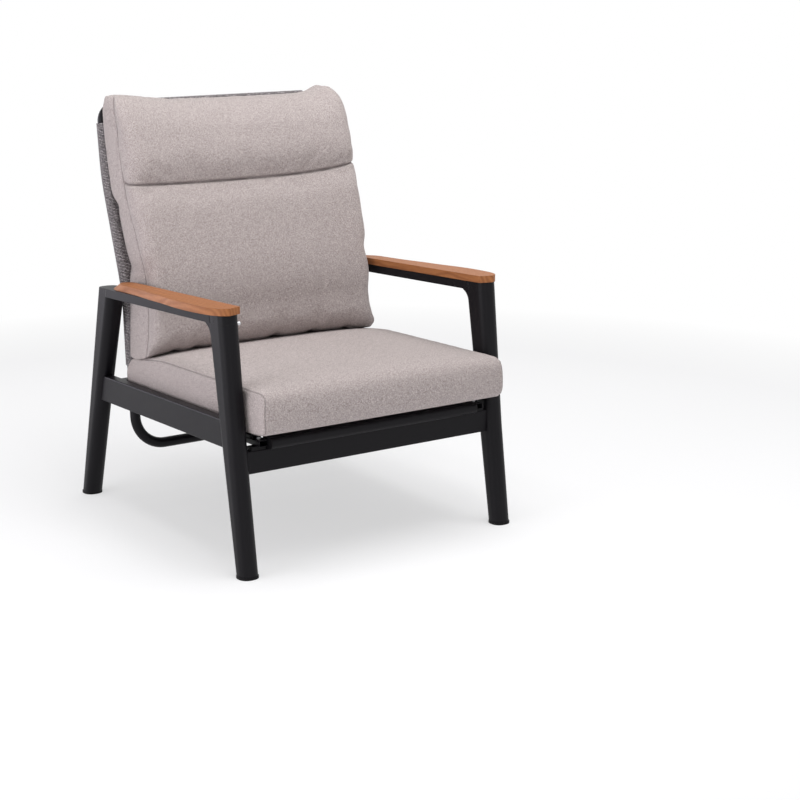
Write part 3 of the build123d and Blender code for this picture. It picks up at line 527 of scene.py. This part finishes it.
def writeShare(piece, name, values):
    layer = piece.data.attributes.new(name, "FLOAT", "POINT")
    layer.data.foreach_set("value", np.asarray(values, dtype=float))


def readShare(piece, name):
    values = np.zeros(len(piece.data.vertices))
    piece.data.attributes[name].data.foreach_get("value", values)
    return values


# the cloth that both covers are cut from
coverCloth = {
    "quality": 6,
    "mass": 0.4,
    "compression_stiffness": 6,
    "shear_stiffness": 6,
    "use_pressure": True,
}


def puff(piece, held, settings):
    # blow the piece up with its held points pinned, and keep every move under the cap
    start = np.array([vertex.co[:] for vertex in piece.data.vertices])
    group = piece.vertex_groups.new(name="held")
    for index in held:
        group.add([index], 1.0, "REPLACE")
    cloth = piece.modifiers.new("puff", "CLOTH")
    for name, value in coverCloth.items():
        setattr(cloth.settings, name, value)
    cloth.settings.tension_stiffness = settings["stretch"]
    cloth.settings.bending_stiffness = settings["bend"]
    cloth.settings.uniform_pressure_force = settings["pressure"]
    cloth.settings.shrink_min = -settings["slack"]
    cloth.settings.vertex_group_mass = "held"
    cloth.settings.effector_weights.gravity = 0
    cloth.collision_settings.use_collision = False
    cloth.point_cache.frame_start = 1
    cloth.point_cache.frame_end = settings["steps"]
    for step in range(1, settings["steps"] + 1):
        bpy.context.scene.frame_set(step)
    ready = piece.evaluated_get(bpy.context.evaluated_depsgraph_get())
    move = np.array([vertex.co[:] for vertex in ready.data.vertices]) - start
    piece.modifiers.remove(cloth)
    bpy.context.scene.frame_set(1)
    reach = np.linalg.norm(move, axis=1)
    cap = settings["cap"]
    # eases into the cap instead of stopping at it; held points don't move, so nothing stands for their 0
    nothing = 1e-9
    move *= (np.tanh(reach / cap) * cap / np.maximum(reach, nothing))[:, None]
    piece.data.vertices.foreach_set("co", (start + move).ravel())
    piece.data.update()


def smoothOver(piece, levels=1):
    subdivide = piece.modifiers.new("subdivide", "SUBSURF")
    subdivide.levels = levels
    subdivide.render_levels = levels
    bpy.context.view_layer.objects.active = piece
    with bpy.context.temp_override(object=piece, active_object=piece):
        bpy.ops.object.modifier_apply(modifier=subdivide.name)
    for face in piece.data.polygons:
        face.use_smooth = True


stitching = {
    "reach": 7,  # seam widths beside the line that it works on
    "puckerPeak": 2.4,  # seam widths out to the highest puckers
    "finePucker": 0.6,  # height of the finer puckers, as a share
    "fineWaves": 2.3,  # and how many times closer they are
    "onLine": 0.99,  # a mark's least value on its own line, once it is subdivided
    "far": 99.0,  # millimetres, until a line is found nearer
}


def sew(piece, seams):
    # draws every sewn line in, puckers the cloth beside it and notes the gap to it in millimetres
    vertices = piece.data.vertices
    trees = {}
    for name in seams:
        line = np.nonzero(readShare(piece, name) > stitching["onLine"])[0]
        trees[name] = KDTree(len(line))
        for index in line:
            trees[name].insert(vertices[index].co, int(index))
        trees[name].balance()
    normals = [vertex.normal.copy() for vertex in vertices]
    places = [vertex.co.copy() for vertex in vertices]
    gap = np.full(len(places), stitching["far"])
    for number, place in enumerate(places):
        move = 0.0
        for name, (depth, width, ripple, waves) in seams.items():
            near, _, distance = trees[name].find(place)
            gap[number] = min(gap[number], distance / mm)
            if distance > stitching["reach"] * width:
                continue
            move -= depth * hump(distance, 0, width)
            finer = noise.noise(near * waves * stitching["fineWaves"])
            flutter = noise.noise(near * waves) + stitching["finePucker"] * finer
            reach = distance / (stitching["puckerPeak"] * width)
            move += ripple * flutter * reach * math.exp(1 - reach)
        vertices[number].co = place + normals[number] * move
    writeShare(piece, "gap", gap)
    for name in seams:
        piece.data.attributes.remove(piece.data.attributes[name])
    piece.data.update()


def makeUp(piece, marks, held, settings):
    # marks are the points of each seam, which are held too
    for name, mark in marks.items():
        values = np.zeros(len(piece.data.vertices))
        values[mark] = 1.0
        writeShare(piece, name, values)
        held.extend(mark)
    puff(piece, held, settings)
    smoothOver(piece)
    sew(piece, settings["seams"])


# seat cushion: boxed foam, one cloth over top and front, a sewn panel at each side
# shares run from left to right, from front to rear and from the underside up
# a Square is a power: the higher it is, the flatter the middle and the squarer the ends

seatCushion = {
    "halfWidth": 317 * mm,
    # half width of the strip that the thickness is read from
    "middle": 60 * mm,
    # depth of the tray's last slat with room to spare
    "lastSlat": 55 * mm,
    "quad": 10 * mm,
    "topRoll": 24 * mm,
    "lowRoll": 22 * mm,
    # crown of the top: height, how square it is, share at the front edge and how fast it grows from there
    "crown": 12 * mm,
    "crownSquare": 3.5,
    "crownFront": 0.25,
    "crownGrowth": 5,
    "crownPower": 0.7,
    "crownFrom": 0.35,
    "puffRoom": 1 * mm,
    # worn flatter towards the back cushion
    "sunk": 0.75,
    "sunkSpan": (0.62, 0.84),
    "rearSink": 16 * mm,
    "rearSinkSpan": (0.70, 1.0),
    "rearSinkFrom": 0.3,
    # underside, lifted at its rim and more at the front
    "rise": 7 * mm,
    "riseEnd": 0.16,
    "frontLift": 5 * mm,
    "frontLiftEnd": 0.10,
    # the sides stand out, less beside the front legs and before them, and the rear end does a little
    "sideBulge": 8 * mm,
    "legBulge": 2.5 * mm,
    "frontBulge": 4 * mm,
    "legPlaces": (-345 * mm, -262 * mm),
    "legEase": (45 * mm, 60 * mm),
    "rearBulge": 6 * mm,
    "bellyTop": 0.87,
    "bellyScale": 1.15,
    "bellyPower": 0.8,
    "stretch": 30,
    "bend": 1.5,
    "pressure": 3.0,
    "slack": 0.0,
    "steps": 16,
    "cap": 5 * mm,
    # depth, width, ripple and waves per metre
    "seams": {"panel": (1.2 * mm, 2.6 * mm, 0.5 * mm, 38)},
}


def makeSeatCushion(settings):
    points = [vertex.co for vertex in frame["nodes"]["seat_cushion"].data.vertices]
    # the tray's slope, from the upper front edges of its first and last slat
    slats = [vertex.co for vertex in frame["nodes"]["seat_slats"].data.vertices]
    firstEdge = max(slats, key=lambda place: place.z)
    lastSlat = max(place.y for place in slats) - settings["lastSlat"]
    lastEdge = max([place for place in slats if place.y > lastSlat], key=lambda place: place.z)
    tilt = math.atan2(lastEdge.z - firstEdge.z, lastEdge.y - firstEdge.y)
    alongTray = Vector((0, math.cos(tilt), math.sin(tilt)))
    upTray = Vector((0, -math.sin(tilt), math.cos(tilt)))
    front = min(place.dot(alongTray) for place in points)
    length = max(place.dot(alongTray) for place in points) - front
    heights = [place.dot(upTray) for place in points if abs(place.x) < settings["middle"]]
    underside = min(heights)
    thickness = max(heights) - underside - settings["crown"] - settings["puffRoom"]

    def roll(place, height, radius, top):
        # rounds the front and rear edges of the section
        up = 1 if top else -1
        centreZ = thickness - radius if top else radius
        outY = radius - min(place, length - place)
        outZ = (height - centreZ) * up
        if outY <= 0 or outZ <= 0:
            return place, height
        scale = max(outY, outZ) / math.hypot(outY, outZ)
        shift = outY * (1 - scale)
        place += shift if place < length / 2 else -shift
        return place, centreZ + outZ * scale * up

    def sideBulge(y):
        first, last = settings["legPlaces"]
        before, after = settings["legEase"]
        free = 1 - smoothstep(first - before, first, y) * (1 - smoothstep(last, last + after, y))
        bulge = settings["legBulge"] + (settings["sideBulge"] - settings["legBulge"]) * free
        return min(bulge, settings["frontBulge"]) if y < first else bulge

    def shape(a, b, c):
        place, height = roll(b * length, c * thickness, settings["topRoll"], True)
        place, height = roll(place, height, settings["lowRoll"], False)
        across = 1 - abs(2 * a - 1) ** settings["crownSquare"]
        full = min(1.0, settings["crownGrowth"] * b + settings["crownFront"])
        full *= 1 - settings["sunk"] * smoothstep(*settings["sunkSpan"], b)
        full = across * full ** settings["crownPower"]
        height += settings["crown"] * full * smoothstep(settings["crownFrom"], 1.0, c)
        sink = smoothstep(*settings["rearSinkSpan"], b) * smoothstep(settings["rearSinkFrom"], 1.0, c)
        height -= settings["rearSink"] * sink
        rim = 1 - across * smoothstep(0.0, settings["riseEnd"], min(b, 1 - b))
        nose = 1 - smoothstep(0.0, settings["frontLiftEnd"], b)
        height += (settings["rise"] * rim + settings["frontLift"] * nose) * (1 - c)
        belly = 0.0
        if c < settings["bellyTop"]:
            belly = math.sin(math.pi * min(1.0, c * settings["bellyScale"])) ** settings["bellyPower"]
        x = (2 * a - 1) * settings["halfWidth"]
        if a in (0, 1):
            x += math.copysign(sideBulge((front + place) * alongTray.y) * belly, x)
        if b == 1:
            place += settings["rearBulge"] * belly
        return alongTray * (front + place) + upTray * (underside + height) + Vector((x, 0, 0))

    sizes = (2 * settings["halfWidth"], length, thickness)
    across, deep, tall = [round(size / settings["quad"]) for size in sizes]
    mesh, indexOf = boxLattice([evenShares(across), evenShares(deep), evenShares(tall)], shape)
    piece = addPiece("seat_cushion_cover", mesh, "cushion_fabric", "frame", ["seat_cushion"])
    marks = {"panel": []}
    held = []
    for (i, j, k), index in indexOf.items():
        if i in (0, across) and (j in (0, deep) or k in (0, tall)):
            marks["panel"].append(index)
        elif k == 0:
            held.append(index)
    makeUp(piece, marks, held, settings)
    return piece


# back cushion: two stuffed chambers behind one front cloth, a narrow band at each side
# shares run from left to right, from front to rear and from the lower hem up

backCushion = {
    "halfWidth": 306 * mm,
    "stuffing": 17 * mm,
    # depth past the band at which the stuffing is full, and how soon it gets there
    "stuffingDepth": 50 * mm,
    "stuffingSpeed": 1.35,
    "restGap": 1 * mm,
    # the woven panel behind it is read no higher than this far below the top
    "panelTop": 35 * mm,
    # height share, then in millimetres: inset of the sides, depth of the front, depth of the side band
    "rows": (
        (0.000, 2, 104, 80),
        (0.012, 1, 119, 86),
        (0.032, 0, 131, 90),
        (0.060, 0, 135, 93),
        (0.095, 2, 131, 94),
        (0.150, 4, 130, 95),
        (0.220, 5, 138, 97),
        (0.290, 5, 144, 99),
        (0.335, 5, 147, 98),
        (0.380, 3, 148, 98),
        (0.430, 3, 149, 95),
        (0.485, 3, 150, 90),
        (0.535, 2, 151, 84),
        (0.590, 2, 152, 79),
        (0.652, 2, 149, 80),
        (0.720, 1, 147, 77),
        (0.800, 1, 141, 75),
        (0.890, 2, 128, 70),
        (0.940, 3, 114, 63),
        (0.975, 6, 96, 54),
        (1.000, 13, 72, 40),
    ),
    # height share and inset of the rear edges in millimetres, drawn in at two ties
    "rearRows": (
        (0.00, -5), (0.015, -4), (0.07, -2), (0.15, 1), (0.22, 5), (0.275, 12), (0.300, 18),
        (0.310, 21), (0.325, 18), (0.38, 14), (0.43, 13), (0.52, 12), (0.537, 14), (0.547, 17),
        (0.562, 12), (0.587, 4), (0.62, 2), (0.66, 3), (0.74, 2), (0.85, 0), (0.90, 0),
        (0.95, 1), (1.00, 9),
    ),
    # place from left (-1) to right (1) and drop of the upper edge in millimetres
    "topLine": (
        (-1.00, 0), (-0.96, -1), (-0.88, 0), (-0.78, 4), (-0.69, 8), (-0.60, 11), (-0.45, 15),
        (0.00, 17), (0.50, 18), (0.70, 18), (0.80, 17), (0.89, 12), (0.95, 4), (0.98, 0),
        (1.00, 0),
    ),
    "topLineFrom": 0.80,
    "bandBelly": 4 * mm,
    # the front is crowned a little from side to side
    "frontCrown": 0.03,
    "frontSquare": 28,
    # channel between the chambers: height, depth, reach below and above, and its curve up at either end
    "channel": 0.652,
    "dip": 11 * mm,
    "dipReach": (0.05, 0.036),
    "dipSquare": 14,
    "channelLift": (5 * mm, 17 * mm),
    "channelLiftReach": 0.13,
    "channelLiftSquare": 3,
    # the head roll stands out above the channel
    "roll": 5 * mm,
    "rollRise": 0.09,
    "rollReach": 0.06,
    # the armrest boards press on it: height share, width and amount
    "squeeze": (0.315, 0.05, 0.44),
    # it stands on the seat cushion, which is felt for from above: reach on the seat,
    # share of the height that gives way, and how far the side bands drop
    "standFrom": 600 * mm,
    "standHalf": 300 * mm,
    "standEnd": 30 * mm,
    "stand": 0.3,
    "seatGap": 1.5 * mm,
    "low": 6 * mm,
    "lowSide": 0.97,
    "lowReach": 0.5,
    # the lower corners stand out
    "ear": 12 * mm,
    "earSquare": 16,
    "earHeight": 0.06,
    # places of the gathers along the lower hem, and how far they lift and draw it in
    "gathers": (-0.78, -0.60, -0.26, 0.12, 0.47, 0.80),
    "gatherWidth": 0.035,
    "gatherHeight": 0.09,
    "gatherLift": 6 * mm,
    "gatherLiftHeight": 0.03,
    "gatherDepth": 5 * mm,
    "counts": (62, 8, 66),
    "sectionPoints": 401,
    # how much closer the quads are, and within which share, at the side bands and at the channel
    "bandQuads": (1.2, 0.05),
    "channelQuads": (2.2, 0.035),
    "stretch": 22,
    "bend": 0.8,
    "pressure": 3.0,
    "slack": 0.012,
    "steps": 18,
    "cap": 5 * mm,
    # depth, width, ripple and waves per metre
    "seams": {
        "band": (1.6 * mm, 3.0 * mm, 1.1 * mm, 34),
        "roll": (5.0 * mm, 3.2 * mm, 2.0 * mm, 21),
        "hem": (1.6 * mm, 4.0 * mm, 2.2 * mm, 20),
    },
}


def makeBackCushion(settings, seatPiece):
    low, high = [Vector(corner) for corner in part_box("back_cushion")]
    height = high.z - low.z
    panel = treeOf(frame["nodes"]["woven_panel"].data)
    seat = treeOf(seatPiece.data)
    standEnd = max(vertex.co.y for vertex in seatPiece.data.vertices) - settings["standEnd"]
    rows, rearRows, topLine = [np.array(settings[name]) for name in ("rows", "rearRows", "topLine")]
    channel = settings["channel"]

    def panelFront(z):
        start = Vector((0, -1, min(z, high.z - settings["panelTop"])))
        return panel.ray_cast(start, Vector((0, 1, 0)))[0].y - settings["restGap"]

    def seatTop(x, y):
        reach = settings["standHalf"]
        start = Vector((min(reach, max(-reach, x)), min(y, standEnd), settings["standFrom"]))
        return seat.ray_cast(start, Vector((0, 0, -1)))[0].z

    def section(c):
        # front cloth of one row from the left band to the right one
        inset, front, band = [np.interp(c, rows[:, 0], rows[:, column]) * mm for column in (1, 2, 3)]
        half = settings["halfWidth"] - inset
        side = np.sin(np.linspace(-math.pi / 2, math.pi / 2, settings["sectionPoints"]))
        below, above = settings["dipReach"]
        dip = settings["dip"] * hump(c, channel, below if c < channel else above)
        dip -= settings["roll"] * hump(c - channel, settings["rollRise"], settings["rollReach"])
        middle = front * (1 - settings["frontCrown"] * side ** 2)
        middle -= dip * (1 - np.abs(side) ** settings["dipSquare"])
        depth = band + (middle - band) * (1 - np.abs(side) ** settings["frontSquare"]) ** 0.5
        # the stuffed front stands out over the side bands
        share = np.clip((depth - band) / (front - band), 0, 1)
        full = 1 - np.cos(np.minimum(share * settings["stuffingSpeed"], 1) * math.pi)
        full = settings["stuffing"] * full / 2
        full *= min(1, (front - band) / settings["stuffingDepth"])
        place, width, amount = settings["squeeze"]
        full *= 1 - amount * hump(c, place, width)
        return half, np.stack([side * (half + full), depth], 1)

    sections = {}

    def shape(a, b, c):
        if c not in sections:
            half, curve = section(c)
            sections[c] = (half, evenly(curve, acrossShares), panelFront(low.z + height * c))
        half, front, rear = sections[c]
        x, depth = front[int(np.argmin(np.abs(acrossShares - a)))]
        if b > 0:
            # side bands run back to the tied rear edges
            rearHalf = settings["halfWidth"] - np.interp(c, rearRows[:, 0], rearRows[:, 1]) * mm
            x += ((2 * a - 1) * rearHalf - x) * b
            if a in (0, 1):
                x += math.copysign(settings["bandBelly"] * math.sin(math.pi * b), x)
            depth = depth * (1 - b)
        side = x / half
        y = rear - depth
        z = low.z + height * c
        if c < settings["stand"]:
            floor = seatTop(x, y)
            if abs(side) > settings["lowSide"]:
                floor -= settings["low"] * smoothstep(0.0, settings["lowReach"], b)
            z += (floor + settings["seatGap"] - low.z) * (1 - c / settings["stand"]) ** 2
        drop = np.interp(side, topLine[:, 0], topLine[:, 1]) * mm
        z -= drop * smoothstep(settings["topLineFrom"], 1.0, c)
        lift = settings["channelLift"][1 if side > 0 else 0]
        lift = lift * abs(side) ** settings["channelLiftSquare"]
        z += lift * hump(c, channel, settings["channelLiftReach"])
        tuck = sum(hump(side, place, settings["gatherWidth"]) for place in settings["gathers"])
        tuck *= (1 - smoothstep(0.0, settings["gatherHeight"], c)) * (1 - b)
        z += settings["gatherLift"] * tuck * (1 - smoothstep(0.0, settings["gatherLiftHeight"], c))
        y += settings["gatherDepth"] * tuck
        ear = settings["ear"] * abs(side) ** settings["earSquare"]
        ear = ear * (1 - smoothstep(0.0, settings["earHeight"], c)) * (1 - b)
        return Vector((x + math.copysign(ear, side), y - ear, z))

    def bandDensity(share):
        more, reach = settings["bandQuads"]
        return 1 + more * hump(min(share, 1 - share), 0, reach)

    def channelDensity(share):
        more, reach = settings["channelQuads"]
        return 1 + more * hump(share, channel, reach)

    across, deep, tall = settings["counts"]
    acrossShares = crowdedShares(across, bandDensity)
    rowShares = crowdedShares(tall, channelDensity)
    # one row runs along the channel
    channelRow = int(np.argmin(np.abs(rowShares - channel)))
    rowShares[channelRow] = channel
    mesh, indexOf = boxLattice([acrossShares, evenShares(deep), rowShares], shape)
    piece = addPiece("back_cushion_cover", mesh, "cushion_fabric", "back", ["back_cushion"])
    marks = {name: [] for name in settings["seams"]}
    held = []
    for (i, j, k), index in indexOf.items():
        if j == deep or k == 0 or i in (0, across):
            held.append(index)
        if j == 0 and i in (0, across):
            marks["band"].append(index)
        if j == 0 and k == channelRow:
            marks["roll"].append(index)
        if j == 0 and k == 0:
            marks["hem"].append(index)
    makeUp(piece, marks, held, settings)


makeBackCushion(backCushion, makeSeatCushion(seatCushion))
print("cushions made")


# studio

studio = {
    "cameraPlace": (-2.225, -3.694, 1.350),
    "azimuth": -34.56,
    "pitch": 14.07,
    "lens": 82.8,
    "sensor": 36,
    "clipEnd": 100,
    "ambient": 0.41,
    "white": (1, 1, 1, 1),
    "paper": (0.93, 0.93, 0.945, 1),
    "paperRough": 0.9,
    "paperSpecular": 0.1,
    "floorReach": 9.0,
    "floorSides": 96,
    "floorDrop": 0.5 * mm,
    # as the camera sees it, the floor turns white between these distances from a share at the chair
    "whiteSpan": (1.1, 2.6),
    "whiteShare": 0.52,
}

# place, aim, width and height, watts and colour
softboxes = {
    "left softbox": ((-2.0, 2.5, 1.0), (0, 0, 0.5), (1.5, 1.7), 36, (0.90, 0.84, 1.0)),
    "side softbox": ((-3.3, -0.2, 0.95), (0, 0, 0.5), (2.6, 1.5), 50, (0.97, 0.95, 1.0)),
    "top softbox": ((0.2, -0.65, 3.4), (0, 0, 0.4), (2.6, 2.6), 95, (1, 1, 1)),
    "corner strip": ((-0.9, -4.6, 0.9), (-0.3, 0, 0.4), (0.14, 2.2), 7, (1, 1, 1)),
}
# only its reflection on the coated tubes is wanted
gleamOnly = "left softbox"


def makeWorld(settings):
    world = bpy.data.worlds.new("studio air")
    bpy.context.scene.world = world
    world.use_nodes = True
    air = Nodes(world.node_tree)
    camera, glossy, through = air.rays("Is Camera", "Is Glossy", "Is Transmission")
    seen = air.maths("MAXIMUM", air.maths("MAXIMUM", camera, glossy), through)
    level = air.node("MapRange", {}, {"Value": seen, "To Min": settings["ambient"], "To Max": 1.0})
    light = air.node("Background", {}, {"Color": settings["white"], "Strength": level})
    air.node("OutputWorld", {}, {"Surface": light})


def makeFloor(settings):
    made = bmesh.new()
    reach, sides = settings["floorReach"], settings["floorSides"]
    bmesh.ops.create_circle(made, cap_ends=True, radius=reach, segments=sides)
    mesh = bpy.data.meshes.new("floor")
    made.to_mesh(mesh)
    made.free()
    floor = bpy.data.objects.new("floor", mesh)
    bpy.context.collection.objects.link(floor)
    floor.location.z = -settings["floorDrop"]
    paper = Finish(
        "studio paper",
        Base_Color=settings["paper"],
        Roughness=settings["paperRough"],
        Specular_IOR_Level=settings["paperSpecular"],
    )
    distance = paper.node("VectorMath", {"operation": "LENGTH"}, {0: paper.place()}, out="Value")
    camera, glossy, through = paper.rays("Is Camera", "Is Glossy", "Is Transmission")
    seen = paper.maths("MINIMUM", camera + glossy + through, 1.0)
    far = paper.ramp(distance, settings["whiteSpan"])
    share = paper.maths("MAXIMUM", far * seen, seen * settings["whiteShare"])
    white = paper.node("Emission", {}, {"Color": settings["white"], "Strength": 1.0})
    mixed = paper.node("MixShader", {}, {0: share, 1: paper.surface, 2: white})
    paper.node("OutputMaterial", {}, {"Surface": mixed})
    mesh.materials.append(paper.material)


def makeCamera(settings):
    lens = bpy.data.cameras.new("camera")
    lens.sensor_width = settings["sensor"]
    lens.sensor_fit = "HORIZONTAL"
    lens.lens = settings["lens"]
    lens.clip_end = settings["clipEnd"]
    camera = bpy.data.objects.new("camera", lens)
    bpy.context.collection.objects.link(camera)
    camera.location = settings["cameraPlace"]
    camera.rotation_euler = (math.radians(90 - settings["pitch"]), 0, math.radians(settings["azimuth"]))
    bpy.context.scene.camera = camera


def addSoftbox(name, place, aim, size, watts, colour):
    lamp = bpy.data.lights.new(name, "AREA")
    lamp.shape = "RECTANGLE"
    lamp.size, lamp.size_y = size
    lamp.energy = watts
    lamp.color = colour
    box = bpy.data.objects.new(name, lamp)
    bpy.context.collection.objects.link(box)
    box.location = place
    box.rotation_euler = (Vector(aim) - Vector(place)).to_track_quat("-Z", "Y").to_euler()
    box.visible_diffuse = name != gleamOnly


makeWorld(studio)
makeFloor(studio)
makeCamera(studio)
for softboxName, softbox in softboxes.items():
    addSoftbox(softboxName, *softbox)
bpy.context.scene.view_settings.view_transform = "Standard"
print("studio set up with", len(softboxes), "softboxes")

print("scene ready")
